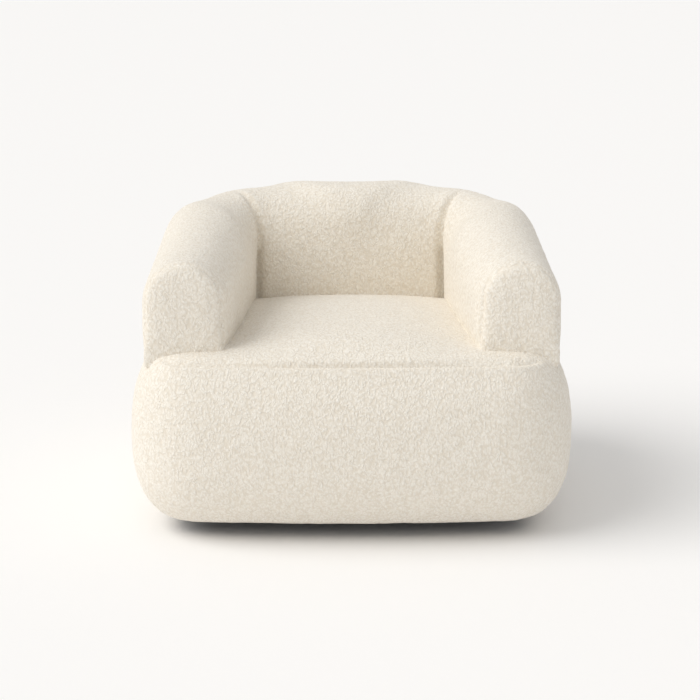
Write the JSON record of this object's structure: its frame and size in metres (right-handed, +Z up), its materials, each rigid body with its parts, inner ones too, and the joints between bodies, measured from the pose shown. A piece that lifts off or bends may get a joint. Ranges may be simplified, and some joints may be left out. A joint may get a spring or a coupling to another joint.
{
  "type": "upholstered armchair",
  "caption": "Low padded armchair: a rounded fabric-covered base block with a thick horseshoe of arms and back around a fixed crowned seat, on short feet.",
  "frame": {"origin": "on the floor, under the middle of the base's outline", "axes": "+Z up, the front of the chair faces -Y, +X is the sitter's left-hand side seen from behind, the right as seen from the front"},
  "size_m": [1, 0.9199, 0.7062],
  "materials": {
    "cover_boucle": "ivory looped-pile upholstery fabric, matt",
    "polyurethane_foam": "open-cell upholstery foam",
    "plywood": "birch plywood, sawn and unfinished",
    "pine": "planed softwood, unfinished",
    "hardboard": "pressed fibreboard",
    "spring_steel": "oiled spring wire",
    "zinc_plate": "bright zinc plate",
    "felt": "needled grey felt",
    "webbing": "woven elastic webbing",
    "black_lining": "spun-bonded black lining",
    "black_polypropylene": "moulded black plastic"
  },
  "bodies": {
    "root": {"arm_back_outer_board": "hardboard", "arm_back_sill": "plywood", "arm_back_top_rail": "plywood", "arm_cover_left": "cover_boucle", "arm_cover_right": "cover_boucle", "arm_facing_left": "cover_boucle", "arm_facing_right": "cover_boucle", "arm_foam_left_inner": "polyurethane_foam", "arm_foam_left_outer": "polyurethane_foam", "arm_foam_right_inner": "polyurethane_foam", "arm_foam_right_outer": "polyurethane_foam", "arm_front_posts": "pine", "arm_inner_board_left": "hardboard", "arm_inner_board_right": "hardboard", "arm_middle_posts": "pine", "back_cover": "cover_boucle", "back_foam_inner": "polyurethane_foam", "back_foam_outer": "polyurethane_foam", "back_posts": "pine", "back_webbing": "webbing", "base_bottom_frame": "plywood", "base_foam_front": "polyurethane_foam", "base_foam_left": "polyurethane_foam", "base_foam_rear": "polyurethane_foam", "base_foam_right": "polyurethane_foam", "base_posts": "pine", "base_seat_frame": "plywood", "base_wrap_board": "hardboard", "border_front": "cover_boucle", "border_rear": "cover_boucle", "corner_posts": "pine", "dust_cover": "black_lining", "foot_blocks": "plywood", "foot_front_left": "black_polypropylene", "foot_front_right": "black_polypropylene", "foot_rear_left": "black_polypropylene", "foot_rear_right": "black_polypropylene", "foot_runners": "plywood", "foot_screws": "zinc_plate", "frame_bolts": "zinc_plate", "seat_cover": "cover_boucle", "seat_felt": "felt", "seat_foam": "polyurethane_foam", "seat_springs": "spring_steel", "spring_clips": "zinc_plate", "spring_tie_wires": "spring_steel", "tee_nuts": "zinc_plate"}
  },
  "joints": []
}
